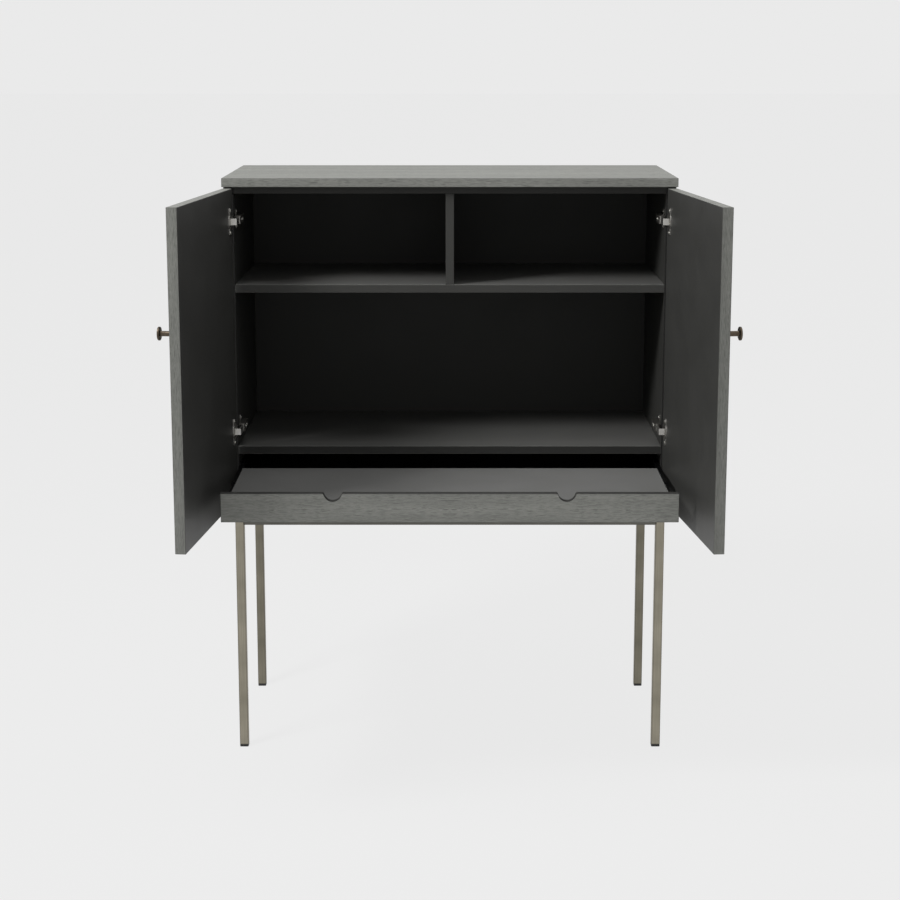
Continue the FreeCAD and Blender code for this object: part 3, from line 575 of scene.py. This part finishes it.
# The face of the disc is crowned: halfway out it has dropped by a quarter of the crown.
rim_start = knob_projection - disc_crown - disc_round
knob_profile = np.concatenate([
    [(0, bore_depth), (bore_radius, bore_depth), (bore_radius, 0), (foot_radius, 0)],
    turned_arc((foot_radius, foot_rim + foot_flare), (stem_radius - foot_radius, -foot_flare),
               90, 0),
    turned_arc((stem_radius + stem_fillet, disc_start - stem_fillet), stem_fillet, 180, 90),
    turned_arc((disc_radius - disc_round, disc_start + disc_round), disc_round, -90, 0),
    turned_arc((disc_radius - disc_round, rim_start), disc_round, 0, 90),
    [(disc_radius / 2, knob_projection - disc_crown / 4), (0, knob_projection)]])
brass = fitting("antique brass, darkened and waxed", light="#6d6255", dark="#3d362e", rough=0.34,
                grain_mm=5.0, metallic=1.0)
angles = np.linspace(0, 2 * math.pi, knob_points, endpoint=False)
for side, hand in (("left", -1), ("right", 1)):
    outward = np.array((hand * math.sin(door_turn), -math.cos(door_turn), 0))
    along = np.array((-hand * math.cos(door_turn), -math.sin(door_turn), 0))
    centre = (np.array((hand * pivot.x, pivot.y, door_high.z - knob_below_top))
              + along * (door_width - knob_from_edge))
    wheel = np.outer(np.cos(angles), along) + np.outer(np.sin(angles), (0, 0, 1))
    rings = (centre + knob_profile[:, 0][:, None, None] * wheel
             + knob_profile[:, 1][:, None, None] * outward)
    knob = ring_mesh("turned_knob_" + side, "knob_" + side, rings, False, "door_" + side)
    knob.data.materials.append(brass)

# ---------------------------------------------------------------- slides and dowels
# The slides are rolled from steel strip, zinc-plated black with a slight blue sheen, and screwed
# to the side boards and the tray's battens. The boards' dowels are turned beech, pale and matt.
paint(fitting("black zinc-plated steel", light="#2c2c2e", dark="#1d1d1f", rough=0.4, grain_mm=8.0,
              metallic=1.0),
      "slide_outer_left", "slide_outer_right", "slide_middle_left", "slide_middle_right",
      "slide_inner_left", "slide_inner_right")
paint(fitting("turned beech dowels", light="#c9a77c", dark="#b08c62", rough=0.6, grain_mm=2.0,
              metallic=0.0), "case_dowels", "tray_dowels")

# ---------------------------------------------------------------- studio
# A pale floor that keeps the cabinet's soft shadow, an even pale surround, a soft key lamp from
# the front left, a broad soft lamp overhead and a dim fill from all round.
background = "#eaeaea"
fill_level = 0.352


def seen_directly(material):
    """1 for camera, glossy and transmission rays, 0 for the rays that light the cabinet."""
    rays = [add(material, "LightPath", output=kind)
            for kind in ("Is Camera Ray", "Is Glossy Ray", "Is Transmission Ray")]
    first = add(material, "Math", {0: rays[0], 1: rays[1]}, operation="MAXIMUM")
    return add(material, "Math", {0: first, 1: rays[2]}, operation="MAXIMUM")


floor_half = 60.0
glow_share = 0.95               # the rest of the floor is its own light and shadow
glow_level = 1.02
floor_mesh = bpy.data.meshes.new("floor")
floor_mesh.from_pydata([(-floor_half, -floor_half, 0), (floor_half, -floor_half, 0),
                        (floor_half, floor_half, 0), (-floor_half, floor_half, 0)], [],
                       [(0, 1, 2, 3)])
floor = bpy.data.objects.new("floor", floor_mesh)
bpy.context.scene.collection.objects.link(floor)
floor_paint = new_material("pale studio floor")
lit = add(floor_paint, "BsdfDiffuse", {"Color": linear(background)})
glow = add(floor_paint, "Emission", {"Color": linear(background), "Strength": glow_level})
share = add(floor_paint, "Math", {0: seen_directly(floor_paint), 1: glow_share},
            operation="MULTIPLY")
add(floor_paint, "OutputMaterial",
    {"Surface": add(floor_paint, "MixShader", {0: share, 1: lit, 2: glow})})
floor_mesh.materials.append(floor_paint)

world = bpy.data.worlds.new("studio")
bpy.context.scene.world = world
world.use_nodes = True
world.node_tree.nodes.clear()
fill = add(world, "Background", {"Color": (1, 1, 1, 1), "Strength": fill_level})
surround = add(world, "Background", {"Color": linear(background), "Strength": 1.0})
add(world, "OutputWorld",
    {"Surface": add(world, "MixShader", {0: seen_directly(world), 1: fill, 2: surround})})


def softbox(name, place, aim, width, depth, watts):
    """A soft rectangular lamp at a place, turned to face the point it is aimed at."""
    light = bpy.data.lights.new(name, "AREA")
    light.shape = "RECTANGLE"
    light.size, light.size_y, light.energy = width, depth, watts
    lamp = bpy.data.objects.new(name, light)
    bpy.context.scene.collection.objects.link(lamp)
    lamp.location = place
    towards = Vector(aim) - Vector(place)
    lamp.rotation_euler = towards.to_track_quat("-Z", "Y").to_euler()


softbox("key", place=(-1.55, -1.08, 2.50), aim=(0, 0, 0.9), width=0.6, depth=0.6, watts=43)
softbox("overhead", place=(0, -0.35, 3.5), aim=(0, -0.2, 1.0), width=2.0, depth=1.4, watts=27)

# The key's light stays as strong as at this distance wherever it falls, as light from far does.
steady_distance = 2.41
key_light = bpy.data.lights["key"]
key_light.use_nodes = True
key_light.node_tree.nodes.clear()
steady = add(key_light, "LightFalloff", {"Strength": 1 / steady_distance ** 2}, "Constant")
add(key_light, "OutputLight", {"Surface": add(key_light, "Emission", {"Strength": steady})})

camera_below_level = 10.965     # degrees by which the camera looks down
camera_data = bpy.data.cameras.new("camera")
camera_data.sensor_width = 36.0
camera_data.lens = 77.54
camera_data.shift_x = -0.0008
camera_data.shift_y = -0.034
camera_data.dof.use_dof = False
camera = bpy.data.objects.new("camera", camera_data)
bpy.context.scene.collection.objects.link(camera)
camera.location = (0.0019, -4.2416, 1.5983)
camera.rotation_euler = (math.radians(90 - camera_below_level), 0, 0)
bpy.context.scene.camera = camera
bpy.context.scene.view_settings.view_transform = "Standard"
